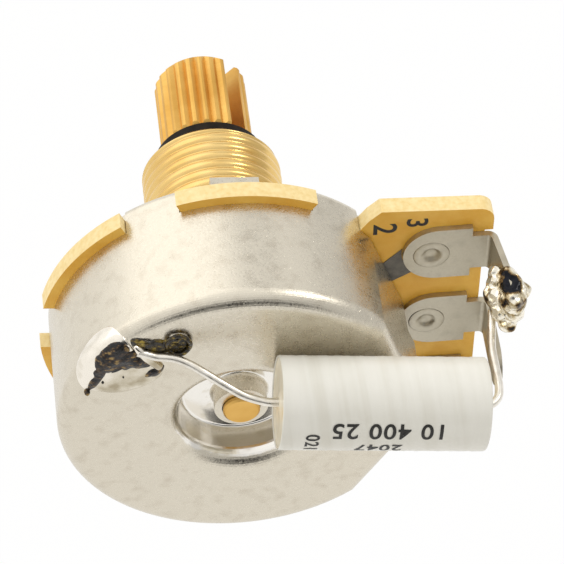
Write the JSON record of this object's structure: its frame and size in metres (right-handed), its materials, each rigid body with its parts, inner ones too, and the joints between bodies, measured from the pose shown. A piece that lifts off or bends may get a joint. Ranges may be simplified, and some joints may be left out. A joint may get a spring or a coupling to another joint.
{
  "type": "rotary potentiometer",
  "caption": "Panel potentiometer with threaded bushing, splined split shaft, solder lugs and a film capacitor soldered from one lug to the cover.",
  "frame": {"origin": "on the shaft line at the mounting face, which is the front of the front plate", "axes": "+Y along the shaft towards its tip, +X towards the lug board's end, +Z towards the first lug and the locating tab"},
  "size_m": [0.0308, 0.0365, 0.0252],
  "materials": {
    "cover_steel": "plated, satin, finely scratched",
    "plate_steel": "plated, satin",
    "brass": "machined, bright",
    "laminate": "amber phenolic laminate, punched edges",
    "carbon_print": "printed carbon, matt",
    "silver_print": "printed silver ink, matt",
    "tinned_lug": "tinned, dull",
    "black_oxide": "black, satin",
    "carrier_plastic": "moulded, matt",
    "film": "translucent off-white film",
    "resin": "clear cast resin, slightly yellow",
    "tinned_wire": "tinned copper, bright",
    "solder": "solder, bright and dull in patches",
    "burnt_flux": "burnt flux, brown to black"
  },
  "bodies": {
    "housing": {"rear_cover": "cover_steel", "front_plate": "plate_steel", "bushing": "brass", "lug_board": "laminate", "resistive_track": "carbon_print", "collector_ring": "silver_print", "end_conductor_1": "silver_print", "end_conductor_3": "silver_print", "terminal_1": "tinned_lug", "terminal_2": "tinned_lug", "terminal_3": "tinned_lug", "rivet_1": "tinned_lug", "rivet_2": "tinned_lug", "rivet_3": "tinned_lug", "thrust_washer": "plate_steel", "capacitor_winding": "film", "capacitor_wrap": "film", "resin_end_left": "resin", "resin_end_right": "resin", "lead_to_cover": "tinned_wire", "lead_to_terminal": "tinned_wire", "solder_on_cover": "solder", "flux_residue": "burnt_flux", "solder_on_terminal": "solder"},
    "rotor": {"shaft": "brass", "retaining_ring": "black_oxide", "wiper_carrier": "carrier_plastic", "wiper_spring": "brass"}
  },
  "joints": [
    {"name": "shaft_rotation", "type": "hinge", "parent": "housing", "child": "rotor", "pos_m": [0, 0, 0], "axis": [0, 1, 0], "range_deg": [-150, 150]}
  ]
}
